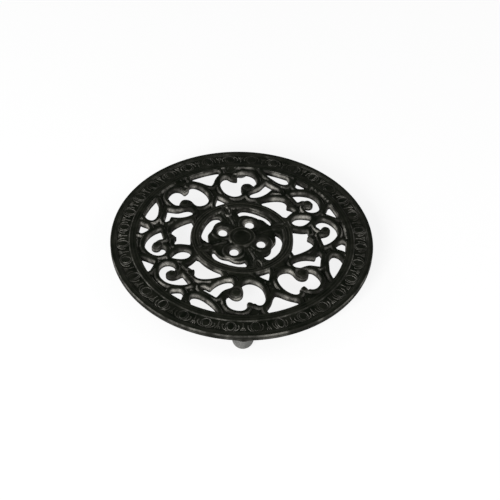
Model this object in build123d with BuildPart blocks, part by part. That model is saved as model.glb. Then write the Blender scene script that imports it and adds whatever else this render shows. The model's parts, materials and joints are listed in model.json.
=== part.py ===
from build123d import *
import os
from math import acos, degrees, hypot, sqrt

# Round openwork table trivet: one iron casting on four push-on rubber feet.
# The origin is on the table under the middle of the plate, and Z points up.
# The pattern's two mirror planes are the XZ and YZ planes. Sizes are in millimetres.
# The casting is held as a border, a medallion and four quarters of scrollwork that
# meet face to face, so that each of them stays a simple shape.

# Plate
plate_radius = 100.0
plate_thickness = 5.5
overall_height = 19.0

# Border, from its outer edge inward
border_edge_width = 3.6
border_line_width = 0.9
border_line_depth = 0.5
egg_band_width = 9.8
egg_band_depth = 1.0
ridge_width = 2.4
ridge_groove_width = 1.6
ridge_groove_depth = 0.8
border_lip_width = 2.0
border_top_break = 0.8
border_bottom_break = 0.6

# Eggs and darts in the band
egg_count = 32
egg_length = 7.2
egg_width = 5.2
egg_corner = 1.6
egg_rise = 0.8
egg_side_slope = 40.0
dart_length = 7.4
dart_width = 2.6
dart_rise = 0.6

# Medallion in the middle
petal_count = 4
medallion_radius = 38.8
medallion_edge_break = 0.6
medallion_ring_width = 6.6
medallion_ring_groove_width = 1.4
medallion_ring_groove_depth = 0.7
medallion_floor_depth = 1.0
boss_radius = 10.2
boss_rim_width = 2.6
boss_dish_depth = 0.6
boss_slope_width = 0.9
eyelet_width = 1.5
eyelet_rise = 0.6
leaf_rise = 0.9
leaf_edge_slope = 35.0

# Feet and the pegs that hold them
foot_count = 4
foot_first_angle = 67.5
foot_edge_inset = 0.7
foot_radius = 7.8
foot_boss_height = 1.5
foot_flat_radius = 2.8
peg_radius = 4.5
peg_length = 7.0
peg_end_chamfer = 0.8
socket_clearance = 0.05
socket_end_gap = 0.4

# Turns in degrees
quarter_turn = 90.0
full_turn = 360.0

# Places that follow from the sizes
plate_top = overall_height
plate_bottom = plate_top - plate_thickness
line_radius = plate_radius - border_edge_width
band_outer_radius = line_radius - border_line_width
band_inner_radius = band_outer_radius - egg_band_width
ridge_inner_radius = band_inner_radius - ridge_width
groove_inner_radius = ridge_inner_radius - ridge_groove_width
field_radius = groove_inner_radius - border_lip_width
egg_band_floor = plate_top - egg_band_depth
egg_place_radius = (band_outer_radius + band_inner_radius) / 2
egg_pitch = full_turn / egg_count
medallion_floor = plate_top - medallion_floor_depth
medallion_ring_inner_radius = medallion_radius - medallion_ring_width
medallion_ring_middle = (medallion_radius + medallion_ring_inner_radius) / 2
foot_place_radius = plate_radius - foot_edge_inset - foot_radius
foot_top = plate_bottom - foot_boss_height

# The pattern is drawn in shares of the plate's radius, with the medallion and the field
# ending at the two shares below. Each outline is a closed chain of runs: two places make
# a line, three an arc and more a smooth curve.
drawn_medallion_share = 0.388
drawn_field_share = 0.797
eyelet_place_share = 0.158
eyelet_hole_share = 0.05
medallion_unit = medallion_radius / drawn_medallion_share
field_unit = (field_radius - medallion_radius) / (drawn_field_share - drawn_medallion_share)
eyelet_place_radius = eyelet_place_share * medallion_unit
eyelet_hole_radius = eyelet_hole_share * medallion_unit

opening_shares = {
    "arch": [
        [(0, 0.618), (0.03, 0.642), (0.062, 0.682), (0.098, 0.714), (0.128, 0.738)],
        [(0.128, 0.738), (0.132, 0.765), (0.122, 0.79)],
        [(0.122, 0.79), (0.118, 0.83)],
        [(0.118, 0.83), (-0.02, 0.83)],
        [(-0.02, 0.83), (-0.02, 0.618)],
        [(-0.02, 0.618), (0, 0.618)],
    ],
    "wedge": [
        [(0, 0.5), (0.03, 0.458), (0.058, 0.405)],
        [(0.058, 0.405), (0.06, 0.36)],
        [(0.06, 0.36), (-0.02, 0.36)],
        [(-0.02, 0.36), (-0.02, 0.5)],
        [(-0.02, 0.5), (0, 0.5)],
    ],
    "circle": [
        [(0.316, 0.5), (0.345, 0.51), (0.363, 0.54), (0.373, 0.575), (0.375, 0.615),
         (0.36, 0.652), (0.328, 0.683), (0.29, 0.698), (0.256, 0.69)],
        [(0.256, 0.69), (0.237, 0.67), (0.226, 0.633)],
        [(0.226, 0.633), (0.197, 0.647), (0.172, 0.686)],
        [(0.172, 0.686), (0.138, 0.699), (0.1, 0.672), (0.073, 0.625), (0.059, 0.565),
         (0.062, 0.513), (0.082, 0.469), (0.115, 0.438), (0.152, 0.43), (0.188, 0.44)],
        [(0.188, 0.44), (0.21, 0.48), (0.22, 0.528), (0.243, 0.553), (0.272, 0.559),
         (0.297, 0.543), (0.316, 0.5)],
    ],
    "slot": [
        [(0.235, 0.382), (0.265, 0.365), (0.31, 0.359), (0.36, 0.367), (0.425, 0.401)],
        [(0.425, 0.401), (0.45, 0.366)],
        [(0.45, 0.366), (0.487, 0.358)],
        [(0.487, 0.358), (0.488, 0.4)],
        [(0.488, 0.4), (0.455, 0.452), (0.423, 0.511)],
        [(0.423, 0.511), (0.385, 0.49), (0.345, 0.467), (0.3, 0.463), (0.26, 0.454), (0.235, 0.43)],
        [(0.235, 0.43), (0.235, 0.382)],
    ],
    "leaf": [
        [(0.457, 0.66), (0.456, 0.61), (0.463, 0.57), (0.483, 0.515), (0.512, 0.455),
         (0.543, 0.424), (0.572, 0.415), (0.598, 0.432), (0.613, 0.468)],
        [(0.613, 0.468), (0.616, 0.51)],
        [(0.616, 0.51), (0.7, 0.55)],
        [(0.7, 0.55), (0.5, 0.7)],
        [(0.5, 0.7), (0.457, 0.66)],
    ],
    "spandrel": [
        [(0.622, 0.337), (0.617, 0.365), (0.62, 0.394)],
        [(0.62, 0.394), (0.646, 0.418), (0.672, 0.46)],
        [(0.672, 0.46), (0.76, 0.36)],
        [(0.76, 0.36), (0.722, 0.34), (0.703, 0.313)],
        [(0.703, 0.313), (0.66, 0.319), (0.622, 0.337)],
    ],
    "field": [
        [(0.283, 0.329), (0.33, 0.33), (0.39, 0.322), (0.44, 0.305), (0.472, 0.283), (0.488, 0.25)],
        [(0.488, 0.25), (0.484, 0.22), (0.463, 0.188)],
        [(0.463, 0.188), (0.489, 0.168), (0.502, 0.138)],
        [(0.502, 0.138), (0.51, 0.107)],
        [(0.51, 0.107), (0.475, 0.101), (0.438, 0.084), (0.4, 0.06)],
        [(0.4, 0.06), (0.375, 0.09)],
        [(0.375, 0.09), (0.282, 0.25)],
        [(0.282, 0.25), (0.283, 0.329)],
    ],
    "loop": [
        [(0.54, 0.313), (0.58, 0.312), (0.625, 0.298), (0.665, 0.275), (0.695, 0.248),
         (0.717, 0.21), (0.727, 0.165), (0.722, 0.125), (0.706, 0.082), (0.682, 0.052),
         (0.645, 0.037), (0.61, 0.045), (0.585, 0.068), (0.575, 0.105), (0.584, 0.132), (0.611, 0.138)],
        [(0.611, 0.138), (0.632, 0.124), (0.656, 0.131), (0.668, 0.154), (0.656, 0.182),
         (0.626, 0.198), (0.59, 0.196), (0.557, 0.192)],
        [(0.557, 0.192), (0.548, 0.25), (0.54, 0.313)],
    ],
    "lens": [
        [(0.418, 0.02), (0.44, 0.046), (0.475, 0.062), (0.515, 0.057), (0.55, 0.04), (0.585, 0.014)],
        [(0.585, 0.014), (0.59, -0.02)],
        [(0.59, -0.02), (0.415, -0.02)],
        [(0.415, -0.02), (0.418, 0.02)],
    ],
    "dart": [
        [(0.7, 0), (0.733, 0.041), (0.773, 0.083)],
        [(0.773, 0.083), (0.83, 0.085)],
        [(0.83, 0.085), (0.83, -0.02)],
        [(0.83, -0.02), (0.7, -0.02)],
        [(0.7, -0.02), (0.7, 0)],
    ],
}

crescent_shares = [
    [(0.068, 0.245), (0.08, 0.287), (0.118, 0.298), (0.162, 0.281), (0.21, 0.243),
     (0.252, 0.192), (0.28, 0.144), (0.288, 0.105), (0.279, 0.065), (0.262, 0.042)],
    [(0.262, 0.042), (0.244, 0.047)],
    [(0.244, 0.047), (0.235, 0.09), (0.222, 0.122), (0.19, 0.147), (0.165, 0.168)],
    [(0.165, 0.168), (0.152, 0.192), (0.128, 0.213), (0.07, 0.219)],
    [(0.07, 0.219), (0.068, 0.245)],
]

leaf_shares = [
    [(0.11, 0), (0.13, 0.022), (0.17, 0.04), (0.22, 0.032), (0.27, 0.03), (0.32, 0.034), (0.372, 0)],
    [(0.372, 0), (0.32, -0.034), (0.27, -0.03), (0.22, -0.032), (0.17, -0.04), (0.13, -0.022), (0.11, 0)],
]


def on_plate(x, y):
    # A drawn place, stretched along its radius so that the drawn bounds meet the real ones.
    drawn_radius = hypot(x, y)
    if drawn_radius <= drawn_medallion_share:
        radius = drawn_radius * medallion_unit
    else:
        radius = medallion_radius + (drawn_radius - drawn_medallion_share) * field_unit
    return (x * radius / drawn_radius, y * radius / drawn_radius)


def outline_face(chain):
    # The face inside one closed outline of the drawing.
    with BuildSketch() as outline:
        with BuildLine():
            for run in chain:
                places = [on_plate(x, y) for x, y in run]
                if len(places) == 2:
                    Line(*places)
                elif len(places) == 3:
                    ThreePointArc(*places)
                else:
                    Spline(*places)
        make_face()
    return outline.sketch


with BuildPart() as egg:
    with BuildSketch() as egg_outline:
        Rectangle(egg_length, egg_width)
        chamfer(egg_outline.vertices(), length=egg_corner)
    extrude(amount=egg_rise, taper=egg_side_slope)

with BuildPart() as dart:
    with BuildSketch():
        with BuildLine():
            Polyline(
                (dart_length / 2, -dart_width / 2),
                (dart_length / 2, dart_width / 2),
                (-dart_length / 2, 0),
                close=True,
            )
        make_face()
    extrude(amount=dart_rise)

# Border: a turned ring with its grooves, the egg band, and the bosses and pegs below.
with BuildPart() as border:
    with BuildSketch(Plane.XZ):
        with BuildLine():
            Polyline(
                (field_radius, plate_bottom),
                (plate_radius - border_bottom_break, plate_bottom),
                (plate_radius, plate_bottom + border_bottom_break),
                (plate_radius, plate_top - border_top_break),
                (plate_radius - border_top_break, plate_top),
                (line_radius, plate_top),
                (line_radius, plate_top - border_line_depth),
                (band_outer_radius, plate_top - border_line_depth),
                (band_outer_radius, egg_band_floor),
                (band_inner_radius, egg_band_floor),
                (band_inner_radius, plate_top),
                (ridge_inner_radius, plate_top),
                (ridge_inner_radius, plate_top - ridge_groove_depth),
                (groove_inner_radius, plate_top - ridge_groove_depth),
                (groove_inner_radius, plate_top),
                (field_radius, plate_top),
                close=True,
            )
        make_face()
    revolve(axis=Axis.Z, revolution_arc=full_turn)
    with Locations((0, 0, egg_band_floor)):
        with PolarLocations(egg_place_radius, egg_count, egg_pitch / 2):
            add(egg.part)
        with PolarLocations(egg_place_radius, egg_count):
            add(dart.part)
    with BuildSketch(Plane.XY.offset(foot_top)):
        with PolarLocations(foot_place_radius, foot_count, foot_first_angle):
            Circle(foot_radius)
    extrude(amount=foot_boss_height)
    with BuildSketch(Plane.XY.offset(foot_top)):
        with PolarLocations(foot_place_radius, foot_count, foot_first_angle):
            Circle(peg_radius)
    extrude(amount=-peg_length)
    chamfer(border.faces().sort_by(Axis.Z)[:foot_count].edges(), length=peg_end_chamfer)

# Medallion: a turned disc with its ring and boss, pierced and set with leaves.
with BuildPart() as medallion:
    with BuildSketch(Plane.XZ):
        with BuildLine():
            Polyline(
                (0, plate_bottom),
                (medallion_radius, plate_bottom),
                (medallion_radius, plate_top - medallion_edge_break),
                (medallion_radius - medallion_edge_break, plate_top),
                (medallion_ring_middle + medallion_ring_groove_width / 2, plate_top),
                (medallion_ring_middle, plate_top - medallion_ring_groove_depth),
                (medallion_ring_middle - medallion_ring_groove_width / 2, plate_top),
                (medallion_ring_inner_radius + medallion_edge_break, plate_top),
                (medallion_ring_inner_radius, medallion_floor),
                (boss_radius, medallion_floor),
                (boss_radius - boss_slope_width, plate_top),
                (boss_radius - boss_rim_width, plate_top),
                (boss_radius - boss_rim_width - boss_slope_width, plate_top - boss_dish_depth),
                (0, plate_top - boss_dish_depth),
                close=True,
            )
        make_face()
    revolve(axis=Axis.Z, revolution_arc=full_turn)
    with BuildSketch(Plane.XY.offset(medallion_floor)):
        with PolarLocations(eyelet_place_radius, petal_count, quarter_turn / 2):
            Circle(eyelet_hole_radius + eyelet_width)
    extrude(amount=eyelet_rise)
    with BuildSketch(Plane.XY.offset(medallion_floor)):
        with PolarLocations(0, petal_count):
            add(outline_face(leaf_shares))
    extrude(amount=leaf_rise, taper=leaf_edge_slope)
    with BuildSketch(Plane.XY.offset(plate_bottom)):
        with PolarLocations(0, petal_count):
            add(outline_face(crescent_shares))
        with PolarLocations(eyelet_place_radius, petal_count, quarter_turn / 2):
            Circle(eyelet_hole_radius)
    extrude(amount=plate_thickness, mode=Mode.SUBTRACT)

# One quarter of the scrollwork, pierced by its openings.
with BuildPart() as scroll_quarter:
    with BuildSketch(Plane.XY.offset(plate_bottom)):
        with BuildLine():
            Line((medallion_radius, 0), (field_radius, 0))
            CenterArc((0, 0), field_radius, 0, quarter_turn)
            Line((0, field_radius), (0, medallion_radius))
            CenterArc((0, 0), medallion_radius, 0, quarter_turn)
        make_face()
        for chain in opening_shares.values():
            add(outline_face(chain), mode=Mode.SUBTRACT)
    extrude(amount=plate_thickness)

# One rubber foot, a cap with a ball end and a socket for the peg, on the middle axis.
socket_radius = peg_radius + socket_clearance
socket_end = foot_top - peg_length - socket_end_gap
ball_centre = sqrt(foot_radius * foot_radius - foot_flat_radius * foot_flat_radius)
ball_turn = degrees(acos(foot_flat_radius / foot_radius))
with BuildPart() as foot:
    with BuildSketch(Plane.XZ):
        with BuildLine():
            Polyline(
                (foot_flat_radius, 0),
                (0, 0),
                (0, socket_end),
                (socket_radius, socket_end),
                (socket_radius, foot_top),
                (foot_radius, foot_top),
                (foot_radius, ball_centre),
            )
            CenterArc((0, ball_centre), foot_radius, 0, -ball_turn)
        make_face()
    revolve(axis=Axis.Z, revolution_arc=full_turn)

# The other three quarters mirror the first.
with BuildPart() as scroll_back_left:
    mirror(scroll_quarter.part, about=Plane.YZ)
with BuildPart() as scroll_front_right:
    mirror(scroll_quarter.part, about=Plane.XZ)
with BuildPart() as scroll_front_left:
    mirror(scroll_back_left.part, about=Plane.XZ)

pieces = {
    "border": border.part,
    "medallion": medallion.part,
    "scrollwork_back_right": scroll_quarter.part,
    "scrollwork_back_left": scroll_back_left.part,
    "scrollwork_front_left": scroll_front_left.part,
    "scrollwork_front_right": scroll_front_right.part,
}

foot_names = ["rubber_foot_back", "rubber_foot_left", "rubber_foot_front", "rubber_foot_right"]
foot_places = PolarLocations(foot_place_radius, foot_count, foot_first_angle).locations
for name, place in zip(foot_names, foot_places):
    with BuildPart() as placed_foot:
        with Locations(place):
            add(foot.part)
    pieces[name] = placed_foot.part

os.makedirs("parts", exist_ok=True)
for name, piece in pieces.items():
    piece.label = name
    export_step(piece, "parts/" + name + ".step")
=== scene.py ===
import json
import math

import bmesh
import bpy
import numpy as np
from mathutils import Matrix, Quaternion, Vector
from mathutils.geometry import delaunay_2d_cdt
from mathutils.kdtree import KDTree

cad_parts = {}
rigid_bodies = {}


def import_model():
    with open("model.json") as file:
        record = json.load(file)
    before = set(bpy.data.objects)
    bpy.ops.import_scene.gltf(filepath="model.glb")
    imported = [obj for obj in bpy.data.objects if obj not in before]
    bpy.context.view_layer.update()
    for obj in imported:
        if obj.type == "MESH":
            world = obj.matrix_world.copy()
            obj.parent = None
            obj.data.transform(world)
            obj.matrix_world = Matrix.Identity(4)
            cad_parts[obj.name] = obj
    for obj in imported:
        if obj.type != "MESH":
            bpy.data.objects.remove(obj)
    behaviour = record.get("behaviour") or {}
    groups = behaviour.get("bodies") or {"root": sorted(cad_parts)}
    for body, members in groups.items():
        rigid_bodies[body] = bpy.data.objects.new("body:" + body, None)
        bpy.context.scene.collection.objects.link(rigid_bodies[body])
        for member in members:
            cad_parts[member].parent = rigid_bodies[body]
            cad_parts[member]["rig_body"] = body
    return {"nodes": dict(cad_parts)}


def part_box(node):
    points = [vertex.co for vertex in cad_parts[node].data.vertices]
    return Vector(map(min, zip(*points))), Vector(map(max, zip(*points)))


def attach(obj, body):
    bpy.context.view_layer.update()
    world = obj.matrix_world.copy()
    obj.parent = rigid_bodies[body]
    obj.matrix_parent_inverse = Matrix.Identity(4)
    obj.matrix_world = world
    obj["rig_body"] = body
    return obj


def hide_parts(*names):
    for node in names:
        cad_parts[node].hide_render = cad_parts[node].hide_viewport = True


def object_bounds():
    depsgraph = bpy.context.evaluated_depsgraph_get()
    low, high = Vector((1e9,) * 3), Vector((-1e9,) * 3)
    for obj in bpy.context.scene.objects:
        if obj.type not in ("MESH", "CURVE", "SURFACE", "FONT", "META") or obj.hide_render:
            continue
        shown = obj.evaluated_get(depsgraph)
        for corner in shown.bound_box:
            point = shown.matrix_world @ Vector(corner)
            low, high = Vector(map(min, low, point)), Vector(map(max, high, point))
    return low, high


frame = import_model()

cadLow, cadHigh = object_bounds()
mm = 1000.0  # drawing units in a metre
castingNodes = ["border", "medallion"] + sorted(n for n in frame["nodes"] if n.startswith("scrollwork_"))
footNodes = sorted(n for n in frame["nodes"] if n.startswith("rubber_foot_"))


# Node helpers

socketKinds = {int: "NodeSocketInt", float: "NodeSocketFloat", type(None): "NodeSocketGeometry"}


def newGroup(name, kind, inputs, outputs):  # inputs by name with their values, outputs by name
    group = bpy.data.node_groups.new(name, kind)
    for label, value in inputs.items():
        socket = group.interface.new_socket(label, in_out="INPUT", socket_type=socketKinds[type(value)])
        if value is not None:
            socket.default_value = value
    for label in outputs:
        socketKind = "NodeSocketGeometry" if label == "Geometry" else "NodeSocketFloat"
        group.interface.new_socket(label, in_out="OUTPUT", socket_type=socketKind)
    return group, group.nodes.new("NodeGroupInput").outputs, group.nodes.new("NodeGroupOutput").inputs


def connect(tree, source, target):
    if isinstance(source, bpy.types.NodeSocket):
        tree.links.new(source, target)
    else:
        target.default_value = source


def addNode(tree, kind, values=None, **settings):
    node = tree.nodes.new(kind)
    for key, value in settings.items():
        setattr(node, key, value)
    for key, value in (values or {}).items():
        connect(tree, value, node.inputs[key])
    return node


def outOf(tree, kind, values=None, **settings):  # a new node's first output
    return addNode(tree, kind, values, **settings).outputs[0]


def calculate(tree, operation, *values):
    return outOf(tree, "ShaderNodeMath", dict(enumerate(values)), operation=operation)


def spread(tree, source, low, high):  # a 0 to 1 ramp between two bounds
    return outOf(tree, "ShaderNodeMapRange", {0: source, 1: low, 2: high})


def blendColour(tree, share, first, second):
    return addNode(tree, "ShaderNodeMix", {0: share, 6: first, 7: second}, data_type="RGBA").outputs[2]


def objectNoise(tree, place, scale, look):
    values = {"Vector": place, "Scale": scale, "Detail": look["detail"], "Roughness": look["roughness"]}
    return outOf(tree, "ShaderNodeTexNoise", values)


def objectPlace(tree):
    return addNode(tree, "ShaderNodeTexCoord").outputs["Object"]


# Effects for both materials: each noise, and the part of it that shows
pits = {"detail": 4.0, "roughness": 0.6, "low": 0.42, "high": 0.68}
waves = {"detail": 3.0, "roughness": 0.55, "low": 0.38, "high": 0.66, "share": 1.6}
streakNoise = {"detail": 3.0, "roughness": 0.65, "low": 0.34, "high": 0.7}
wearNoise = {"detail": 3.0, "roughness": 0.5, "low": 0.2, "high": 0.7}


def makeGrainAndSheenNoise():  # fine pits and slow waves of a sand casting, as a height and two masks; one copy also gives the patches of the iron's painted sheen
    scales = {"Fine Scale": 900.0, "Wave Scale": 90.0}
    tree, inputs, output = newGroup("castGrain", "ShaderNodeTree", scales, ["Height", "Speckle", "Patches"])
    place = objectPlace(tree)
    fine = objectNoise(tree, place, inputs["Fine Scale"], pits)
    slow = objectNoise(tree, place, inputs["Wave Scale"], waves)
    connect(tree, calculate(tree, "MULTIPLY_ADD", slow, waves["share"], fine), output["Height"])
    connect(tree, spread(tree, fine, pits["low"], pits["high"]), output["Speckle"])
    connect(tree, spread(tree, slow, waves["low"], waves["high"]), output["Patches"])
    return tree


def makeWallStreaks():  # streaks that run down a wall, as a mask
    stretches = {"Across Scale": 520.0, "Down Share": 0.12}
    tree, inputs, output = newGroup("wallStreaks", "ShaderNodeTree", stretches, ["Streaks"])
    stretch = outOf(tree, "ShaderNodeCombineXYZ", {0: 1.0, 1: 1.0, 2: inputs["Down Share"]})
    place = outOf(tree, "ShaderNodeVectorMath", {0: objectPlace(tree), 1: stretch}, operation="MULTIPLY")
    noise = objectNoise(tree, place, inputs["Across Scale"], streakNoise)
    connect(tree, spread(tree, noise, streakNoise["low"], streakNoise["high"]), output["Streaks"])
    return tree


def makeSlopeWearAndSheen():  # patches of a mask that is 0 on level faces and rises on edges and slopes: a painted sheen on the iron's slopes, and wear on the rubber
    slopes = {"Start": 0.06, "Full": 0.5, "Patch Scale": 300.0}
    tree, inputs, output = newGroup("edgeWear", "ShaderNodeTree", slopes, ["Wear"])
    normal = addNode(tree, "ShaderNodeNewGeometry").outputs["Normal"]
    upward = addNode(tree, "ShaderNodeSeparateXYZ", {0: normal}).outputs["Z"]
    slope = calculate(tree, "SUBTRACT", 1.0, calculate(tree, "ABSOLUTE", upward))
    ramp = spread(tree, slope, inputs["Start"], inputs["Full"])
    noise = objectNoise(tree, objectPlace(tree), inputs["Patch Scale"], wearNoise)
    patches = spread(tree, noise, wearNoise["low"], wearNoise["high"])
    connect(tree, calculate(tree, "MULTIPLY", ramp, patches), output["Wear"])
    return tree


castGrain = makeGrainAndSheenNoise()
wallStreaks = makeWallStreaks()
edgeWear = makeSlopeWearAndSheen()


def newMaterial(name):
    material = bpy.data.materials.new(name)
    material.use_nodes = True
    tree = material.node_tree
    return material, tree, tree.nodes["Principled BSDF"]


def useGroup(tree, group, values):
    return addNode(tree, "ShaderNodeGroup", values, node_tree=group).outputs


def vertexValue(tree, name):
    return addNode(tree, "ShaderNodeAttribute", attribute_name=name).outputs["Fac"]


def grainBump(tree, look, grain):
    values = {"Strength": look["bump"], "Distance": look["bumpDepth"], "Height": grain["Height"]}
    return outOf(tree, "ShaderNodeBump", values)


blackIron = {
    "topColour": (0.0022, 0.0030, 0.0017, 1),
    "patchColour": (0.0078, 0.0084, 0.0060, 1),
    "ridgeColour": (0.060, 0.057, 0.048, 1),
    # the underside's colour, which the walls also fade to near their bottom as painted shade
    "underColour": (0.0075, 0.0078, 0.0062, 1),
    # walls: a lighter copy of the iron, with a painted sheen broken by streaks and speckle
    "wallColour": (0.0165, 0.0155, 0.0135, 1),
    "wallStreakColour": (0.48, 0.463, 0.418, 1),
    "grain": {"Fine Scale": 950.0, "Wave Scale": 110.0},
    # patches of the painted sheen on the walls
    "sheen": {"Fine Scale": 700.0, "Wave Scale": 85.0},
    "streaks": {"Across Scale": 300.0, "Down Share": 0.35},
    # slopes and edges of the iron take the painted sheen
    "slope": {"Start": 0.1, "Full": 0.5, "Patch Scale": 260.0},
    "ridgeSpeckle": (-0.6, 1.0),
    "sheenSpread": (-0.1, 0.9),
    "sheenContrast": 2.0,
    "streakSpread": (-1.1, 1.0),
    "wallSpeckle": (-1.6, 1.0),
    "wallTurn": 0.35,  # the "wall" value where a top has become a wall
    "topRoughness": 0.4,
    "wallRoughness": 0.55,
    "speckleRoughness": 0.1,
    "specular": 0.012,
    "bump": 0.3,
    "bumpDepth": 0.00012,
}


def makeIron():
    look = blackIron
    material, tree, shader = newMaterial("blackCastIron")
    grain = useGroup(tree, castGrain, look["grain"])
    streaks = useGroup(tree, wallStreaks, look["streaks"])
    slope = useGroup(tree, edgeWear, look["slope"])["Wear"]
    sheen = useGroup(tree, castGrain, look["sheen"])["Patches"]
    wall = vertexValue(tree, "wall")
    ridge = vertexValue(tree, "ridge")
    top = blendColour(tree, grain["Patches"], look["topColour"], look["patchColour"])
    # painted highlight along ridges and relief lines, broken by speckle
    ridgeHighlight = calculate(tree, "MULTIPLY", ridge, spread(tree, grain["Speckle"], *look["ridgeSpeckle"]))
    top = blendColour(tree, ridgeHighlight, top, look["ridgeColour"])
    # painted sheen: bright patches on the walls, thinned by streaks and speckle
    tone = calculate(tree, "POWER", spread(tree, sheen, *look["sheenSpread"]), look["sheenContrast"])
    tone = calculate(tree, "MULTIPLY", tone, spread(tree, streaks["Streaks"], *look["streakSpread"]))
    tone = calculate(tree, "MULTIPLY", tone, spread(tree, grain["Speckle"], *look["wallSpeckle"]))
    side = blendColour(tree, tone, look["wallColour"], look["wallStreakColour"])
    # painted sheen on slopes and shoulders: tilted tops take the walls' sheen colour
    wearAndSheen = blendColour(tree, slope, top, side)
    # painted shade: lower on a wall, the colour fades from the painted sheen to the underside's dark
    shaded = blendColour(tree, spread(tree, wall, look["wallTurn"], 1.0), look["underColour"], side)
    isWall = spread(tree, wall, 0.0, look["wallTurn"])
    connect(tree, blendColour(tree, isWall, wearAndSheen, shaded), shader.inputs["Base Color"])
    values = {0: isWall, 3: look["topRoughness"], 4: look["wallRoughness"]}
    roughness = outOf(tree, "ShaderNodeMapRange", values)
    speckled = calculate(tree, "MULTIPLY_ADD", grain["Speckle"], look["speckleRoughness"], roughness)
    connect(tree, speckled, shader.inputs["Roughness"])
    shader.inputs["Specular IOR Level"].default_value = look["specular"]
    connect(tree, grainBump(tree, look, grain), shader.inputs["Normal"])
    return material


darkRubber = {
    "colour": (0.072, 0.072, 0.067, 1),
    "dustColour": (0.105, 0.104, 0.098, 1),
    "wornColour": (0.055, 0.055, 0.051, 1),
    "grain": {"Fine Scale": 1500.0, "Wave Scale": 240.0},
    "wear": {"Start": 0.6, "Full": 0.0, "Patch Scale": 200.0},  # start over full: worn on its level ends
    "roughness": 0.6,
    "specular": 0.3,
    "bump": 0.12,
    "bumpDepth": 0.00006,
}


def makeRubber():
    look = darkRubber
    material, tree, shader = newMaterial("darkRubber")
    grain = useGroup(tree, castGrain, look["grain"])
    dusty = blendColour(tree, grain["Patches"], look["colour"], look["dustColour"])
    wearAndSheen = useGroup(tree, edgeWear, look["wear"])["Wear"]
    connect(tree, blendColour(tree, wearAndSheen, dusty, look["wornColour"]), shader.inputs["Base Color"])
    shader.inputs["Roughness"].default_value = look["roughness"]
    shader.inputs["Specular IOR Level"].default_value = look["specular"]
    connect(tree, grainBump(tree, look, grain), shader.inputs["Normal"])
    return material


iron = makeIron()
rubber = makeRubber()
print("materials made")


# The pierced plate. One quarter is drawn from the undersides of the frame's own nodes. Lengths in millimetres.

plate = {
    "stepAlongEdge": 0.62,
    "gridStep": 0.9,
    "edgeRows": (0.08, 0.22, 0.45, 0.75, 1.1, 1.55, 2.1, 2.7, 3.15, 3.6, 4.0),
    "swell": 0.6,  # how far the round shoulders stand out into a gap
    "edgeRound": 1.5,
    "edgeDrop": 1.8,
    "medallionEdgeRound": 0.9,
    "medallionEdgeDrop": 0.9,
    "rodWidth": 2.7,
    "creaseEnd": 4.0,
    "creaseDepth": 1.9,
    "webStart": 6.0,
    "webShare": 0.6,  # how far the middle of a wide web rises again
    # share of the walls' painted sheen on the steep shoulders
    "shoulderTone": 0.9,
    "rimSteps": 132,
    "cornerPasses": 2,
    "unevenness": 0.12,
    "unevenWave": 26.0,
    "sharpTurn": 50.0,
}


def nodeRadii(node):
    return [math.hypot(v.co.x, v.co.y) * mm for v in frame["nodes"][node].data.vertices]


plateRadius = cadHigh.x * mm
plateTop = cadHigh.z * mm
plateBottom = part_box("medallion")[0].z * mm
fieldRadius = min(nodeRadii("border"))
medallionRadius = max(nodeRadii("medallion"))
tiny = 0.01
snapDistance = plate["stepAlongEdge"] / 4


def onCircle(edge, radius):
    return all(abs(math.hypot(*place) - radius) < tiny for place in edge)


def undersideEdges(node):  # the edges that bound a node's flat underside
    mesh = frame["nodes"][node].data
    places = [(round(v.co.x * mm, 3), round(v.co.y * mm, 3), v.co.z * mm) for v in mesh.vertices]
    uses = {}
    for face in mesh.polygons:
        corners = [places[i] for i in face.vertices]
        if all(abs(c[2] - plateBottom) < tiny for c in corners):
            flat = [c[:2] for c in corners]
            for edge in zip(flat, flat[1:] + flat[:1]):
                key = tuple(sorted(edge))
                uses[key] = uses.get(key, 0) + 1
    return [edge for edge, count in uses.items() if count == 1 and edge[0] != edge[1]]


def isSeam(edge):  # on a circle between two nodes, or on a mirror plane
    onRing = onCircle(edge, fieldRadius) or onCircle(edge, medallionRadius)
    return onRing or any(max(values) < tiny for values in zip(*edge))


def openArcs(edges, radius, wallPlaces):  # where a gap ends on a circle, not on scrollwork
    covered = [sorted(math.atan2(p[1], p[0]) for p in edge) for edge in edges if onCircle(edge, radius)]
    gaps = []
    at = 0.0
    for low, high in sorted(covered) + [[math.pi / 2, math.pi / 2]]:
        if (low - at) * radius > snapDistance:
            gaps.append((at, low))
        at = max(at, high)
    arcs = []
    for low, high in gaps:
        count = max(1, round((high - low) * radius / plate["stepAlongEdge"]))
        turns = [low + (high - low) * k / count for k in range(count + 1)]
        points = [(radius * math.cos(t), radius * math.sin(t)) for t in turns]
        for end in (0, -1):
            near = min(wallPlaces, key=lambda p: math.dist(p, points[end]))
            if math.dist(near, points[end]) < snapDistance:
                points[end] = near
            else:
                points[end] = tuple(0.0 if value < tiny else value for value in points[end])
        arcs += list(zip(points, points[1:]))
    return arcs


def chainEdges(edges):  # runs of edges as paths, each with whether it closes
    nextTo = {}
    for a, b in edges:
        nextTo.setdefault(a, []).append(b)
        nextTo.setdefault(b, []).append(a)
    left = set(nextTo)
    paths = []
    starts = sorted(p for p in nextTo if len(nextTo[p]) == 1)
    for start in starts + sorted(nextTo):
        if start not in left:
            continue
        path, onward = [], [start]
        while onward:
            path.append(onward[0])
            left.discard(onward[0])
            onward = [p for p in nextTo[path[-1]] if p in left]
        paths.append((np.array(path), len(nextTo[start]) == 2))
    return paths


def mirrored(point, end):  # the point's image across the axis that the path's end lies on
    return point * np.array([-1, 1]) if abs(end[0]) < tiny else point * np.array([1, -1])


def neighbours(path, closed):
    before, after = np.roll(path, 1, 0), np.roll(path, -1, 0)
    if not closed:
        before[0] = mirrored(path[1], path[0])
        after[-1] = mirrored(path[-2], path[-1])
    return before, after


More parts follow.
